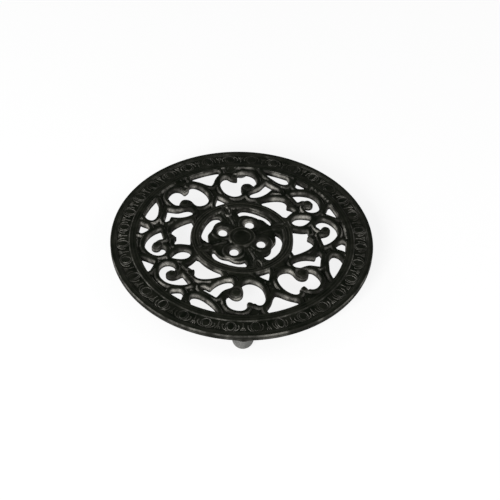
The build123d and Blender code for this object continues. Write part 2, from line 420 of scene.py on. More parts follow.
def inwardOf(before, after):  # from the gap into the iron
    forward = after - before
    forward /= np.maximum(np.hypot(*forward.T), 1e-9)[:, None]
    return np.stack([forward[:, 1], -forward[:, 0]], 1)


def evenPath(path, closed):
    points = np.vstack([path, path[:1]]) if closed else path
    runs = np.hypot(*np.diff(points, axis=0).T)
    along = np.concatenate([[0], np.cumsum(runs)])
    count = max(6, round(along[-1] / plate["stepAlongEdge"]))
    marks = np.linspace(0, along[-1], count + 1)
    even = np.stack([np.interp(marks, along, points[:, k]) for k in (0, 1)], 1)
    even = even[:-1] if closed else even
    for _ in range(plate["cornerPasses"]):
        before, after = neighbours(even, closed)
        even = even * 0.5 + (before + after) * 0.25
    return even


def segmentDistance(points, start, run):
    share = ((points - start) * run).sum(-1) / np.maximum((run * run).sum(-1), 1e-12)
    away = points - (start + run * np.clip(share, 0, 1)[..., None])
    return np.hypot(away[..., 0], away[..., 1])


def pathDistance(points, path, closed):
    start = path if closed else path[:-1]
    run = (np.roll(path, -1, 0) if closed else path[1:])[:len(start)] - start
    return segmentDistance(points[:, None], start, run).min(1)


def swollen(path, closed):  # the path moved into its gap, where rounded shoulders stand out
    moved = path - plate["swell"] * inwardOf(*neighbours(path, closed))
    loopShare, axisClearance = 0.94, 0.2
    clear = pathDistance(moved, path, closed) > loopShare * plate["swell"]  # drops the loops in tight corners
    if not closed:
        for end in (0, -1):
            moved[end, 0 if abs(path[end, 0]) < tiny else 1] = 0
        clear &= moved.min(1) > axisClearance  # and what comes near the mirror planes
        clear[[0, -1]] = True
    return moved[clear]


def signedArea(path):
    x, y = path.T
    return np.sum(x * np.roll(y, -1) - y * np.roll(x, -1)) / 2


def wallPaths():
    panel = undersideEdges("scrollwork_back_right")
    walls = [e for e in panel if not isSeam(e)]
    wallPlaces = {p for e in walls for p in e}
    walls += openArcs(panel, fieldRadius, wallPlaces)
    walls += openArcs(panel, medallionRadius, wallPlaces)
    walls += [e for e in undersideEdges("medallion") if min(min(p) for p in e) > 0 and not isSeam(e)]
    paths = []
    for path, closed in chainEdges(walls):
        even = evenPath(path, closed)
        if signedArea(even) < 0:
            even = even[::-1]
        paths.append((swollen(even, closed), closed))
    return paths


def insideAny(points, loops):
    inside = np.zeros(len(points), bool)
    x, y = points.T
    for loop in loops:
        low, high = loop.min(0), loop.max(0)
        near = np.flatnonzero((x > low[0]) & (x < high[0]) & (y > low[1]) & (y < high[1]))
        px, py = x[near, None], y[near, None]
        ax, ay = loop.T
        bx, by = np.roll(loop, -1, 0).T
        cross = (ay > py) != (by > py)
        slope = (bx - ax) / np.where(by == ay, 1, by - ay)
        inside[near] |= (cross & (px < ax + (py - ay) * slope)).sum(1) % 2 == 1
    return inside


class Walls:
    def __init__(self, paths):
        self.points = np.vstack([p for p, closed in paths])
        before, after = zip(*(neighbours(p, closed) for p, closed in paths))
        self.before, self.after = np.vstack(before), np.vstack(after)
        self.inward = inwardOf(self.before, self.after)
        self.tree = KDTree(len(self.points))
        for i, (x, y) in enumerate(self.points):
            self.tree.insert((x, y, 0), i)
        self.tree.balance()

    def distance(self, points):
        nearest = np.array([self.tree.find((x, y, 0))[1] for x, y in points], int)
        start = self.points[nearest]
        toBefore = segmentDistance(points, start, self.before[nearest] - start)
        return np.minimum(toBefore, segmentDistance(points, start, self.after[nearest] - start))


def smooth(low, high, value):
    share = np.clip((value - low) / (high - low), 0, 1)
    return share * share * (3 - 2 * share)


def rising(value, place, blend):  # 0 to 1 through a blend round a place
    return smooth(place + blend[0], place + blend[1], value)


def bell(value, centre, width):
    return np.exp(-(((value - centre) / width) ** 2))


def fromTable(rows, place):  # the value between a table's rows
    return np.interp(place, *np.array(rows).T)


# Heights of the relief below the plate's top

borderProfile = [  # radius, height, from the field outward
    (79.7, 0.0), (81.2, 0.0), (81.7, -0.22), (82.4, -0.32), (82.9, -0.2), (83.35, -0.03), (83.9, 0.0),
    (84.8, 0.0), (85.3, -0.08), (85.7, -0.5), (86.1, -0.95), (86.6, -1.0), (94.7, -1.0), (95.2, -0.9),
    (95.6, -0.4), (95.95, -0.3), (96.25, -0.42), (96.6, -0.12), (97.1, 0.0), (99.1, 0.0), (99.6, -0.14),
    (99.88, -0.42), (100.0, -0.85),
]
borderLines = [(81.1, 0.15), (83.5, 0.25), (85.3, 0.3), (96.8, 0.3), (95.5, 0.1)]  # radius, strength of the painted highlight
borderLineWidth = 0.3
borderGrooveDepth = 0.4
scrollEnds = {
    "balls": [(26.8, 51.2, 4.5), (63.0, 16.0, 3.8), (21.6, 66.0, 2.9), (49.6, 20.2, 2.9)],  # middle, radius
    "dropShare": 0.42,
    "roundness": 2.6,
    "linePitch": 0.3,  # of the turned line; it and what follows are shares of the ball's radius
    "lineGroove": (0.45, 0.1),  # start, width
    "lineWear": (0.62, 0.08),
    "creaseWidth": 0.2,
    "grooveDepth": 0.25,
    "wearTone": 0.35,
}
medallion = {
    "ringInner": 32.2,
    "ringGroove": 35.5,
    "grooveDepth": 0.6,
    "seamDepth": 0.7,
    "ringLine": 1.15,
    # painted highlight along the ring's lines
    "ringTone": 0.6,
    "floorDrop": 1.7,
    "bossEdge": 10.2,
    "bossDish": 6.6,
    "dishDepth": 0.8,
    "bossGroove": 8.2,
    "bossGrooveDepth": 0.4,
    # painted highlight round the boss and its dish
    "bossTone": 0.9,
    "dishTone": 0.15,
    "eyelet": (11.17, 11.17, 5.0),  # middle and radius of the round gap
    "cupMiddle": 1.9,
    "cupWidth": 2.2,
    "cupRise": 1.45,
}
bud = {
    "widths": [(24.5, 0.0), (26.5, 1.7), (29.5, 3.1), (32.0, 3.4), (34.5, 2.6), (38.3, 0.0)],  # along, half width
    "topDrop": 0.04,
    "dishDepth": 0.95,
    "ribRise": 0.5,
    "moatDepth": 0.65,
    # painted highlight along the bud's edge and rib
    "edgeTone": 0.3,
    "ribTone": 0.2,
}
leaf = {
    "veins": [(0.0, 1.0), (0.13, 0.8), (0.24, 0.6)],  # slope away from the middle, strength
    "veinWidth": 0.35,
    "veinSpread": 0.022,
    "start": (11.2, 13.5),
    "end": (30.5, 31.8),
    "rise": 1.0,
}


# Rows down the sides: level below the top, inset, and how bright the wall is painted there: a painted sheen near
# the top that fades to painted shade at the bottom
underTone = 0.36
# painted highlight on the rim's rounded outer edge, and painted sheen and shade down the rim by row
rimTone, rimBlend = 0.62, (99.1, 99.7)
rimLevels = [
    (-1.2, 0.0, 0.55), (-2.1, 0.0, 0.44), (-2.4, 0.16, 0.36), (-2.75, 0.16, 0.36), (-3.05, 0.0, 0.46),
    (-4.1, 0.0, 0.41), (-4.75, 0.12, 0.37), (-5.2, 0.42, 0.37), (-5.5, 0.95, underTone),
]
wallLevels = [
    (-2.5, 0.0, 1.0), (-3.3, 0.0, 0.8), (-4.1, 0.0, 0.52), (-5.25, 0.05, 0.36), (-5.5, 0.2, underTone),
]
eyeletLevels = [(-2.9, -0.8, 1.0), (-3.2, -1.0, 0.6), (-4.3, 0.3, 0.4), (-5.5, 1.8, underTone)]


def strandRelief(r, d):  # a rod follows each gap, with creases where two rods meet
    field = rising(r, medallionRadius, (0.2, 1.2)) * (1 - rising(r, fieldRadius, (-0.6, 0.6)))
    crease = smooth(plate["rodWidth"], plate["creaseEnd"], d)
    crease = crease - plate["webShare"] * smooth(plate["creaseEnd"] + 0.3, plate["webStart"], d)
    return field, field * plate["creaseDepth"] * crease


def addScrollEnds(x, y, field, height, ridge):  # a ball with a turned line, set off by a crease
    (groove, grooveWidth), (wear, highlightWidth) = scrollEnds["lineGroove"], scrollEnds["lineWear"]
    for kx, ky, size in scrollEnds["balls"]:
        away = np.hypot(x - kx, y - ky) / size
        line = scrollEnds["linePitch"] * (np.arctan2(y - ky, x - kx) / (2 * np.pi))
        drop = size * scrollEnds["dropShare"]
        ball = -drop * away ** scrollEnds["roundness"]
        ball = ball - scrollEnds["grooveDepth"] * bell(away, groove + line, grooveWidth)
        within = away < 1
        crease = drop * field * bell(away, 1.0, scrollEnds["creaseWidth"])
        height = np.where(within, ball, height - crease)
        # painted highlight along the turned line
        turned = scrollEnds["wearTone"] * bell(away, wear + line, highlightWidth)
        ridge = np.where(within, turned, ridge * smooth(1.0, 1.3, away))
    return height, ridge


def addRing(r, height, ridge):
    inner, groove, line = medallion["ringInner"], medallion["ringGroove"], medallion["ringLine"]
    ring = rising(r, inner, (-0.2, 0.5)) * (1 - rising(r, medallionRadius, (0.1, 0.6)))
    seam = medallion["seamDepth"] * bell(r, medallionRadius + 0.3, 0.5)
    height = height - (medallion["grooveDepth"] * bell(r, groove, 0.8) * ring + seam)
    height = height - borderGrooveDepth * bell(r, fieldRadius - 0.1, 0.8)
    # painted highlight along the ring's lines and its outer edge
    lines = bell(r, groove + line, 0.25) + bell(r, groove - line, 0.25) + bell(r, inner + 0.7, 0.22)
    ridge = ridge + ring * medallion["ringTone"] * lines
    return height, ridge + medallion["ringTone"] * bell(r, medallionRadius - 0.45, 0.25)


def veinRelief(along, across):
    width = leaf["veinWidth"] + leaf["veinSpread"] * along
    fan = sum(strength * bell(across, slope * along, width) for slope, strength in leaf["veins"])
    return fan * smooth(*leaf["start"], along) * (1 - smooth(*leaf["end"], along))


def budRelief(along, across):  # height, ridge and how far the bud covers what lies under it
    width = fromTable(bud["widths"], along)
    outside = across - width
    wide = smooth(0.8, 2.0, width)
    dish = bud["dishDepth"] * (1 - smooth(-1.6, -0.8, outside)) * wide
    height = -bud["topDrop"] - dish + bud["ribRise"] * bell(across, 0, 0.6) * wide
    height -= bud["moatDepth"] * smooth(-0.1, 0.7, outside)
    ridge = bud["edgeTone"] * bell(outside, -0.45, 0.35) + bud["ribTone"] * bell(across, 0, 0.3) * wide
    return height, ridge, smooth(0.05, 0.9, width) * (1 - smooth(0.45, 1.35, outside))


def addMedallionFloor(x, y, r, height, ridge):
    drop, edge, dish = medallion["floorDrop"], medallion["bossEdge"], medallion["bossDish"]
    inner = 1 - rising(r, medallion["ringInner"], (-0.6, 0.35))
    boss = 1 - rising(r, edge, (-0.3, 0.5))
    floor = -drop * inner
    bossDish = medallion["dishDepth"] * (1 - rising(r, dish, (-0.5, 0.4)))
    floor += drop * boss - bossDish - medallion["bossGrooveDepth"] * bell(r, medallion["bossGroove"], 0.5)
    eyeX, eyeY, eyeRadius = medallion["eyelet"]
    hole = np.hypot(abs(x) - eyeX, abs(y) - eyeY) - eyeRadius
    cup = np.maximum(0, 1 - ((hole - medallion["cupMiddle"]) / medallion["cupWidth"]) ** 2)
    floor += inner * medallion["cupRise"] * cup * (1 - boss)
    bossHighlight = medallion["bossTone"] * bell(r, edge - 0.5, 0.35)
    ridge = ridge + (bossHighlight + medallion["dishTone"] * bell(r, dish + 0.35, 0.25))
    ways = ((abs(x), abs(y)), (abs(y), abs(x)))
    for along, across in ways:
        fan = veinRelief(along, across) * inner * (1 - boss)
        floor = np.maximum(floor, (leaf["rise"] * fan - drop) * inner)
    height = height + floor
    for along, across in ways:
        budHeight, budRidge, cover = budRelief(along, across)
        height = height * (1 - cover) + budHeight * cover
        ridge = ridge * (1 - cover) + budRidge * cover
    return height, ridge


def reliefHeight(x, y, d):  # height, ridge and wall mask at places whose distance to the walls is d; the wall mask gives the steep shoulders the walls' painted sheen
    r = np.hypot(x, y)
    field, creases = strandRelief(r, d)
    height, ridge = addScrollEnds(x, y, field, -creases, np.zeros(len(x)))
    height, ridge = addRing(r, height, ridge)
    height, ridge = addMedallionFloor(x, y, r, height, ridge)
    height = np.where(r > fieldRadius, fromTable(borderProfile, r), height)
    for centre, strength in borderLines:
        ridge += strength * bell(r, centre, borderLineWidth)
    shoulder = plate["medallionEdgeRound"] + (plate["edgeRound"] - plate["medallionEdgeRound"]) * field
    drop = plate["medallionEdgeDrop"] + (plate["edgeDrop"] - plate["medallionEdgeDrop"]) * field
    edge = np.clip(1 - d / shoulder, 0, 1)
    height -= drop * (1 - np.sqrt(1 - edge ** 2))
    return np.minimum(height, 0), np.clip(ridge, 0, 1), plate["shoulderTone"] * smooth(0.5, 1.0, edge)


class Spots:  # the places taken so far, sorted in square cells
    def __init__(self, size):
        self.size = size
        self.cells = {}

    def cellOf(self, place):
        return int(place[0] // self.size), int(place[1] // self.size)

    def take(self, place):
        self.cells.setdefault(self.cellOf(place), []).append(tuple(place))

    def isFree(self, place, gap):
        cx, cy = self.cellOf(place)
        near = [self.cells.get((cx + i, cy + j), ()) for i in (-1, 0, 1) for j in (-1, 0, 1)]
        return all((x - place[0]) ** 2 + (y - place[1]) ** 2 >= gap * gap for cell in near for x, y in cell)


def circlePoints(turns, radius):
    return np.stack([np.cos(turns), np.sin(turns)], 1) * radius


def gridPoints(start, end, stepAcross, stepUp, shift, radius):  # every other row is shifted
    gx, gy = np.meshgrid(np.arange(start, end, stepAcross), np.arange(start, end, stepUp))
    gx = gx + (np.round(gy / stepUp) % 2) * shift
    points = np.stack([gx.ravel(), gy.ravel()], 1)
    return points[np.hypot(*points.T) < radius]


spacing = {  # of the points that the top is drawn from
    "axisStep": 0.5, "ballStep": 0.5, "budStep": 0.45, "axisMargin": 0.12,
    "ballShares": (0.8, 1.0, 1.2),
    "budOffsets": (-1.6, -0.8, -0.1, 0.7, 1.35),
    "ringOffsets": (-1.6, -0.9, -0.1, 0.7),
}


def outlineRows():  # rows of points along the outlines of the scroll ends and the buds
    rows = []
    for kx, ky, size in scrollEnds["balls"]:
        turns = np.arange(0, 2 * math.pi, spacing["ballStep"] / size)
        rows += [circlePoints(turns, share * size) + (kx, ky) for share in spacing["ballShares"]]
    along = np.arange(bud["widths"][0][0], bud["widths"][-1][0], spacing["budStep"])
    width = fromTable(bud["widths"], along)
    for offset in spacing["budOffsets"]:
        rows += [np.stack([along, width + offset], 1), np.stack([width + offset, along], 1)]
    return rows


def topRows(walls, turns):  # points, least distance to a wall, least gap between points, margin at the axes
    margin = spacing["axisMargin"]
    count = round(plateRadius / spacing["axisStep"])
    marks = np.arange(0, count) * plateRadius / count
    axes = np.vstack([np.stack([marks, marks * 0], 1), np.stack([marks[1:] * 0, marks[1:]], 1)])
    rows = [(axes, 0.1, 0.05, -1)]
    rows += [(row, 0.3, 0.22, margin) for row in outlineRows()]
    for row in plate["edgeRows"]:
        rows.append((walls.points + walls.inward * row, row * 0.93, 0.13, margin))
    circles = [fieldRadius + k for k in spacing["ringOffsets"]] + [r for r, _ in borderProfile[1:-1]]
    rows += [(circlePoints(turns, radius), 0.3, 0.1, margin) for radius in circles]
    step = plate["gridStep"]
    fine = step * 0.53
    inner = gridPoints(fine, medallionRadius, fine, fine, 0, medallionRadius)
    rows.append((inner, 0.2, fine * 0.7, margin))
    grid = gridPoints(0, fieldRadius + 2, step, step * 0.866, step / 2, fieldRadius + 1)
    rows.append((grid, plate["edgeRows"][-1] + 0.25, step * 0.45, margin))
    return rows


def topPoints(paths, walls):
    loops = [p for p, closed in paths]
    steps = plate["rimSteps"]
    turns = np.array([math.pi / 2 * k / steps for k in range(steps + 1)])
    outer = np.array([(plateRadius * math.cos(t), plateRadius * math.sin(t)) for t in turns])
    outer[0, 1] = outer[-1, 0] = 0
    kept = [walls.points, outer]
    spots = Spots(plate["gridStep"])
    for place in np.vstack(kept):
        spots.take(place)
    for points, least, gap, margin in topRows(walls, turns[1:-1]):
        away = (points[:, 0] > margin) & (points[:, 1] > margin)
        points = points[away & (np.hypot(*points.T) < plateRadius - 0.02)]
        points = points[~insideAny(points, loops)]
        points = points[walls.distance(points) > least]
        for place in points:
            if spots.isFree(place, gap):
                spots.take(place)
                kept.append(place[None])
    return np.vstack(kept), len(outer)


def triangulate(points, edges, loops, radius):
    made = delaunay_2d_cdt([Vector(p) for p in points], edges, [], 0, 1e-5, True)
    places = np.array([v[:] for v in made[0]])
    source = [ids[0] if ids else -1 for ids in made[3]]
    faces = np.array([f[:3] for f in made[2]], int)
    middles = places[faces].mean(1)
    keep = ~insideAny(middles, loops) & (np.hypot(*middles.T) < radius)
    return places, faces[keep], source


def runOfEdges(count, closed, start):
    edges = [(start + k, start + k + 1) for k in range(count - 1)]
    return edges + [(start + count - 1, start)] if closed else edges


class Skin:  # places, values and faces of the quarter as they are made
    def __init__(self):
        self.places, self.ridges, self.walls, self.faces = [], [], [], []
        self.count = 0

    def add(self, places, ridge, wall):
        self.places.append(places)
        self.ridges.append(np.zeros(len(places)) + ridge)
        self.walls.append(np.zeros(len(places)) + wall)
        self.count += len(places)
        return np.arange(self.count - len(places), self.count)

    def bridge(self, upper, lower, closed):
        quads = np.stack([upper, np.roll(upper, -1), np.roll(lower, -1), lower], 1)
        quads = quads if closed else quads[:-1]
        self.faces += [quads[:, [0, 1, 2]], quads[:, [0, 2, 3]]]


def sideLevels(path, closed):
    eyeX, eyeY, eyeRadius = medallion["eyelet"]
    fromEyelet = np.abs(np.hypot(*(path - (eyeX, eyeY)).T) - eyeRadius).max()
    return eyeletLevels if closed and fromEyelet < 1 else wallLevels


def addSide(skin, path, inward, closed, row, levels):  # rows of faces from the top's edge down to the underside
    topLevel = skin.places[0][row, 2]
    for number, (level, shift, tone) in enumerate(levels):
        z = np.full(len(path), plateTop + level)
        if number < 2:
            z = np.minimum(z, topLevel - 0.1 * (number + 1))
        lower = skin.add(np.column_stack([path + inward * shift, z]), 0, tone)
        skin.bridge(row, lower, closed)
        row = lower
    return path + inward * levels[-1][1], row


def addUnderside(skin, rings, edges):
    flat = np.vstack([points for points, row in rings] + [np.zeros((1, 2))])
    known = np.concatenate([row for points, row in rings])
    loops = [points for points, row in rings[:-1]]
    places, faces, source = triangulate(flat, edges, loops, plateRadius)
    mapped = np.full(len(places), -1)
    for i, s in enumerate(source):
        if 0 <= s < len(known):
            mapped[i] = known[s]
        else:
            mapped[i] = skin.add(np.array([[*places[i], plateBottom]]), 0, underTone)[0]
    print("underside has", len(faces), "faces")
    skin.faces.append(mapped[faces][:, ::-1])


def quarterMesh():
    paths = wallPaths()
    walls = Walls(paths)
    print("quarter has", len(paths), "gaps and", len(walls.points), "edge points")
    points, outerCount = topPoints(paths, walls)
    strips, edges, at = [], [], 0
    for path, closed in paths:
        strips.append((path, walls.inward[at:at + len(path)], closed, at, sideLevels(path, closed)))
        edges += runOfEdges(len(path), closed, at)
        at += len(path)
    outer = points[at:at + outerCount]
    strips.append((outer, -outer / plateRadius, False, at, rimLevels))
    edges += runOfEdges(outerCount, False, at)
    top, topFaces, source = triangulate(points, edges, [p for p, closed in paths], plateRadius)
    print("top has", len(top), "points and", len(topFaces), "faces")
    height, ridge, wall = reliefHeight(top[:, 0], top[:, 1], walls.distance(top))
    # painted highlight along the rim's rounded outer edge
    wall = np.maximum(wall, rimTone * smooth(*rimBlend, np.hypot(*top.T)))
    skin = Skin()
    skin.add(np.column_stack([top, plateTop + height]), ridge, wall)
    skin.faces.append(topFaces)
    newIndex = {s: i for i, s in enumerate(source) if s >= 0}
    rings = []
    for path, inward, closed, start, levels in strips:
        row = np.array([newIndex[start + k] for k in range(len(path))])
        rings.append(addSide(skin, path, inward, closed, row, levels))
    addUnderside(skin, rings, edges)
    return [np.concatenate(part) for part in (skin.places, skin.faces, skin.ridges, skin.walls)]


unevenTerms = [  # for X, then for Y: strength, turns across X and Y, start
    [(1.0, 0.0, 6.1, 1.3), (0.6, 9.7, 3.1, 0.0)],
    [(1.0, 5.3, 0.0, 0.4), (0.6, -4.3, 8.9, 0.0)],
]


def makeUneven(verts):  # slow waves that take the ruled look off the strands
    x, y = verts[:, 0], verts[:, 1]
    wave = plate["unevenWave"]
    amount = plate["unevenness"] * (1 - rising(np.hypot(x, y), fieldRadius, (-4, 1)))
    for axis, terms in enumerate(unevenTerms):
        verts[:, axis] += amount * sum(s * np.sin(x / wave * a + y / wave * b + c) for s, a, b, c in terms)
    return verts


def addValues(mesh, name, values):
    attribute = mesh.attributes.new(name, "FLOAT", "POINT")
    attribute.data.foreach_set("value", np.asarray(values, np.float32))


def plainMesh(name, verts, faces, material):
    mesh = bpy.data.meshes.new(name)
    mesh.from_pydata([tuple(v) for v in verts], [], [tuple(int(i) for i in f) for f in faces])
    mesh.materials.append(material)
    return mesh


def tidyMesh(mesh, sharpTurn):
    build = bmesh.new()
    build.from_mesh(mesh)
    bmesh.ops.remove_doubles(build, verts=build.verts, dist=2e-6)
    bmesh.ops.dissolve_degenerate(build, dist=1e-7, edges=build.edges)
    bmesh.ops.recalc_face_normals(build, faces=build.faces)
    openEdges = sum(1 for e in build.edges if len(e.link_faces) != 2)
    build.to_mesh(mesh)
    build.free()
    mesh.shade_smooth()
    mesh.set_sharp_from_angle(angle=math.radians(sharpTurn))
    return openEdges


def newObject(name, data):
    obj = bpy.data.objects.new(name, data)
    bpy.context.scene.collection.objects.link(obj)
    return obj


def placeObject(name, mesh, body, slotName, *nodes):
    obj = newObject(name, mesh)
    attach(obj, body)
    if nodes:
        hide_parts(*nodes)


def makePlate():
    quarter, faces, ridge, wall = quarterMesh()
    verts, allFaces = [], []
    for number, (sx, sy) in enumerate(((1, 1), (-1, 1), (-1, -1), (1, -1))):
        verts.append(quarter * np.array([sx, sy, 1]))
        part = faces + number * len(quarter)
        allFaces.append(part if sx * sy > 0 else part[:, ::-1])
    places = makeUneven(np.vstack(verts)) / mm
    mesh = plainMesh("castPlate", places, np.vstack(allFaces), iron)
    addValues(mesh, "ridge", np.tile(ridge, 4))
    addValues(mesh, "wall", np.tile(wall, 4))
    openEdges = tidyMesh(mesh, plate["sharpTurn"])
    print("plate has", len(mesh.polygons), "faces,", openEdges, "open edges")
    placeObject("castPlate", mesh, "casting", "iron", *castingNodes)


makePlate()


# Eggs and darts in the sunk band, set round the border by a node tree

eggBand = {
    "Count": 32,
    "Band Radius": 90.6,
    "Floor Height": 1.0,
    "Egg Length": 7.6,
    "Egg Width": 5.2,
    "Egg Rise": 0.75,
    "Ring Length": 9.0,
    "Ring Width": 7.2,
    "Arch Width": 11.6,
    "Dart Length": 7.0,
    "Dart Width": 3.0,
    "Line Width": 0.8,
    "Unevenness": 0.1,
    "Seed": 11,
}
notLengths = ("Count", "Unevenness", "Seed")
bandDetail = {
    "lineSides": 8, "eggSegments": 18, "eggRings": 10, "ovalSteps": 30, "archSteps": 22, "bendSteps": 8,
    # ovalTone and lineTone: painted highlight along the raised lines
    "archTurn": 3.9, "ovalTone": 0.15, "lineTone": 0.3, "turnShare": 0.6,
}


def moved(tree, geometry, place=(0, 0, 0), turn=(0, 0, 0), scale=(1, 1, 1)):
    values = {"Geometry": geometry, "Translation": place, "Rotation": turn, "Scale": scale}
    return outOf(tree, "GeometryNodeTransform", values)


def threeOf(tree, x, y, z):
    return outOf(tree, "ShaderNodeCombineXYZ", {0: x, 1: y, 2: z})


def sweptLine(tree, curve, width):
    values = {"Resolution": bandDetail["lineSides"], "Radius": calculate(tree, "MULTIPLY", width, 0.5)}
    section = outOf(tree, "GeometryNodeCurvePrimitiveCircle", values)
    values = {"Curve": curve, "Profile Curve": section, "Fill Caps": True}
    return outOf(tree, "GeometryNodeCurveToMesh", values)


# the ridge value, which the iron paints as a highlight on the band's lines
def toned(tree, geometry, ridge):
    values = {"Geometry": geometry, "Name": "ridge", "Value": ridge}
    return outOf(tree, "GeometryNodeStoreNamedAttribute", values, data_type="FLOAT", domain="POINT")


def joined(tree, parts):
    node = tree.nodes.new("GeometryNodeJoinGeometry")
    for part in reversed(parts):
        tree.links.new(part, node.inputs[0])
    return node.outputs[0]


def setRound(tree, shape, size, turnShare, seed):
    values = {"Vertices": size["Count"], "Radius": size["Band Radius"]}
    ring = outOf(tree, "GeometryNodeMeshCircle", values)
    pitch = calculate(tree, "DIVIDE", 2 * math.pi, size["Count"])
    turn = threeOf(tree, 0.0, 0.0, calculate(tree, "MULTIPLY", pitch, turnShare))
    ring = moved(tree, ring, threeOf(tree, 0.0, 0.0, size["Floor Height"]), turn)
    position = outOf(tree, "GeometryNodeInputPosition")
    place = addNode(tree, "ShaderNodeSeparateXYZ", {0: position}).outputs
    angle = calculate(tree, "ARCTAN2", place["Y"], place["X"])
    values = {2: -1.0, 3: 1.0, "Seed": calculate(tree, "ADD", size["Seed"], seed)}
    scatter = addNode(tree, "FunctionNodeRandomValue", values).outputs[1]
    uneven = calculate(tree, "MULTIPLY", scatter, size["Unevenness"])
    twist = calculate(tree, "MULTIPLY_ADD", uneven, bandDetail["turnShare"], angle)
    longer, narrower = calculate(tree, "ADD", 1.0, uneven), calculate(tree, "SUBTRACT", 1.0, uneven)
    values = {
        "Points": ring,
        "Instance": shape,
        "Rotation": threeOf(tree, 0.0, 0.0, twist),
        "Scale": threeOf(tree, longer, narrower, 1.0),
    }
    return outOf(tree, "GeometryNodeInstanceOnPoints", values)


def eggAndDartTree():
    sockets = {"Geometry": None, **eggBand}
    tree, size, output = newGroup("eggsAndDarts", "GeometryNodeTree", sockets, ["Geometry"])
    line = size["Line Width"]
    lineTone = bandDetail["lineTone"]

    def half(key, sign=1.0):
        value = calculate(tree, "MULTIPLY", size[key], 0.5)
        return value if sign > 0 else calculate(tree, "MULTIPLY", value, sign)

    def scaled(shape, length, width, rise):
        return moved(tree, shape, scale=threeOf(tree, half(length), half(width), rise))

    values = {"Segments": bandDetail["eggSegments"], "Rings": bandDetail["eggRings"], "Radius": 1.0}
    egg = outOf(tree, "GeometryNodeMeshUVSphere", values)
    egg = toned(tree, scaled(egg, "Egg Length", "Egg Width", size["Egg Rise"]), 0.0)
    values = {"Resolution": bandDetail["ovalSteps"], "Radius": 1.0}
    oval = outOf(tree, "GeometryNodeCurvePrimitiveCircle", values)
    oval = scaled(oval, "Ring Length", "Ring Width", 1.0)
    oval = toned(tree, sweptLine(tree, oval, line), bandDetail["ovalTone"])
    turn = bandDetail["archTurn"]
    values = {"Resolution": bandDetail["archSteps"], "Radius": 1.0, "Start Angle": -turn / 2, "Sweep Angle": turn}
    arch = outOf(tree, "GeometryNodeCurveArc", values)
    arch = scaled(arch, "Ring Length", "Arch Width", 1.0)
    arch = toned(tree, sweptLine(tree, arch, line), lineTone)
    values = {
        "Resolution": bandDetail["bendSteps"],
        "Start": threeOf(tree, half("Dart Length"), half("Dart Width"), 0.0),
        "Start Handle": threeOf(tree, 0.0, half("Dart Width"), 0.0),
        "End Handle": threeOf(tree, 0.0, half("Dart Width", -1.0), 0.0),
        "End": threeOf(tree, half("Dart Length"), half("Dart Width", -1.0), 0.0),
    }
    bend = outOf(tree, "GeometryNodeCurvePrimitiveBezierSegment", values)
    values = {
        "Start": threeOf(tree, half("Dart Length", -1.0), 0.0, 0.0),
        "End": threeOf(tree, half("Dart Length"), 0.0, 0.0),
    }
    stem = outOf(tree, "GeometryNodeCurvePrimitiveLine", values)
    dart = toned(tree, joined(tree, [sweptLine(tree, bend, line), sweptLine(tree, stem, line)]), lineTone)
    eggs = setRound(tree, joined(tree, [egg, oval, arch]), size, 0.5, 1)
    darts = setRound(tree, dart, size, 0.0, 2)
    shape = outOf(tree, "GeometryNodeRealizeInstances", {"Geometry": joined(tree, [eggs, darts])})
    shape = outOf(tree, "GeometryNodeSetShadeSmooth", {"Geometry": shape})
    shape = outOf(tree, "GeometryNodeSetMaterial", {"Geometry": shape, "Material": iron})
    connect(tree, shape, output["Geometry"])
    return tree


def makeEggBand():
    tree = eggAndDartTree()
    band = newObject("eggsAndDarts", bpy.data.meshes.new("bandStart"))
    modifier = band.modifiers.new("eggsAndDarts", "NODES")
    modifier.node_group = tree
    identifiers = {item.name: item.identifier for item in tree.interface.items_tree if item.in_out == "INPUT"}
    for key, value in eggBand.items():
        size = value if key in notLengths else value / mm
        if key == "Floor Height":  # given below the plate's top
            size = (plateTop - value) / mm
        modifier[identifiers[key]] = size
    depsgraph = bpy.context.evaluated_depsgraph_get()
    mesh = bpy.data.meshes.new_from_object(band.evaluated_get(depsgraph), depsgraph=depsgraph)
    band.modifiers.remove(modifier)
    band.data = mesh
    mesh.name = "eggsAndDarts"
    if mesh.materials[0] is None:
        mesh.materials.pop(index=0)  # an empty slot that the primitives bring along
    print("egg band has", len(mesh.polygons), "faces")
    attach(band, "casting")


makeEggBand()


# Feet: the rubber feet, and the pegs and collars under the border that they are pushed on

feet = {
    "turns": 96,
    "edgeRound": 0.5,
    "lipRound": 0.25,
    "ballSteps": 24,
    "flatShare": 0.36,
    "socketShare": 0.583,
    "socketDepthShare": 0.95,
    "middleShare": 0.02,
    "sharpTurn": 60,
}
pegs = {
    "turns": 64,
    "radiusShare": 0.577,
    "length": 7.0,
    "chamfer": 0.8,
    "collarRound": 0.3,
    "collarGap": 0.01,  # keeps the collar clear of the foot
    "collarSink": 0.2,  # how far the collar reaches into the plate
    "middleRadius": 0.02,
    # how far the pegs take the walls' painted sheen over the painted shade
    "tone": 0.6,
    "sharpTurn": 40,
}


def lathe(name, outline, turns, centre, material):
    verts, faces = [], []
    for radius, height in outline:
        for k in range(turns):
            angle = 2 * math.pi * k / turns
            x, y = centre[0] + radius * math.cos(angle), centre[1] + radius * math.sin(angle)
            verts.append((x / mm, y / mm, height / mm))
    for row in range(len(outline) - 1):
        for k in range(turns):
            a, b = row * turns + k, row * turns + (k + 1) % turns
            faces.append((a, b, b + turns, a + turns))
    for row, height in ((0, outline[0][1]), (len(outline) - 1, outline[-1][1])):
        verts.append((centre[0] / mm, centre[1] / mm, height / mm))
        for k in range(turns):
            faces.append((row * turns + k, row * turns + (k + 1) % turns, len(verts) - 1))
    return plainMesh(name, verts, faces, material)


